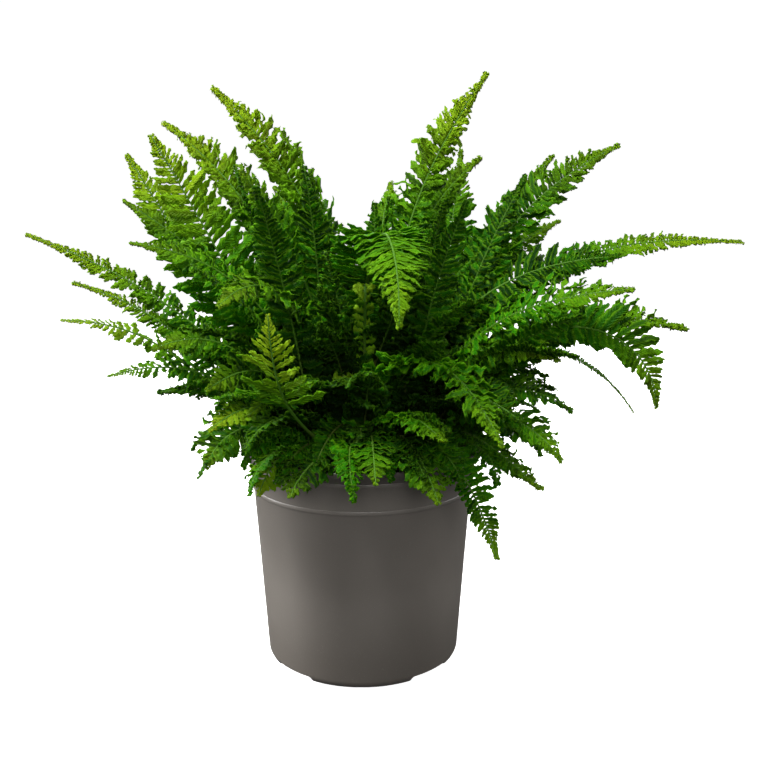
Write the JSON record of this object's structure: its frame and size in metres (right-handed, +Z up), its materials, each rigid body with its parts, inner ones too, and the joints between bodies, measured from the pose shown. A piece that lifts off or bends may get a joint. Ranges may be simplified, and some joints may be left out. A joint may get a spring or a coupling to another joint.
{
  "type": "potted fern",
  "caption": "Bushy sword fern with ruffled fronds arching out of a round tapered plastic nursery pot with a flared lip and feet under its base.",
  "frame": {"origin": "on the pot's axis, at the level the pot stands on", "axes": "+Z up along the pot's axis; -Y towards the front of the plant, where the open young frond and the frond that arches over the rim are; +X to the right seen from the front"},
  "size_m": [0.3438, 0.237, 0.2876],
  "materials": {
    "pot_plastic": "satin",
    "potting_mix": "matte",
    "crown": "matte",
    "frond": "satin",
    "young_frond": "satin"
  },
  "bodies": {
    "root": {"crosier_01": "young_frond", "crosier_02": "young_frond", "crown": "crown", "frond_01": "frond", "frond_02": "frond", "frond_03": "frond", "frond_04": "frond", "frond_05": "frond", "frond_06": "frond", "frond_07": "frond", "frond_08": "frond", "frond_09": "frond", "frond_10": "frond", "frond_11": "frond", "frond_12": "frond", "frond_13": "frond", "frond_14": "frond", "frond_15": "frond", "frond_16": "frond", "frond_17": "frond", "frond_18": "frond", "frond_19": "frond", "frond_20": "frond", "frond_21": "frond", "frond_22": "frond", "frond_23": "frond", "frond_24": "frond", "frond_25": "frond", "frond_26": "frond", "frond_27": "frond", "frond_28": "frond", "frond_29": "frond", "frond_30": "frond", "frond_31": "frond", "frond_32": "frond", "frond_33": "frond", "frond_34": "frond", "frond_35": "frond", "frond_36": "frond", "frond_37": "frond", "frond_38": "frond", "frond_39": "frond", "frond_40": "frond", "frond_41": "frond", "frond_42": "frond", "frond_43": "frond", "frond_44": "frond", "frond_45": "frond", "frond_46": "frond", "frond_47": "frond", "frond_48": "frond", "frond_49": "frond", "frond_50": "frond", "frond_51": "frond", "frond_52": "frond", "frond_53": "frond", "frond_54": "frond", "frond_55": "frond", "pot": "pot_plastic", "potting_mix": "potting_mix"}
  },
  "joints": []
}
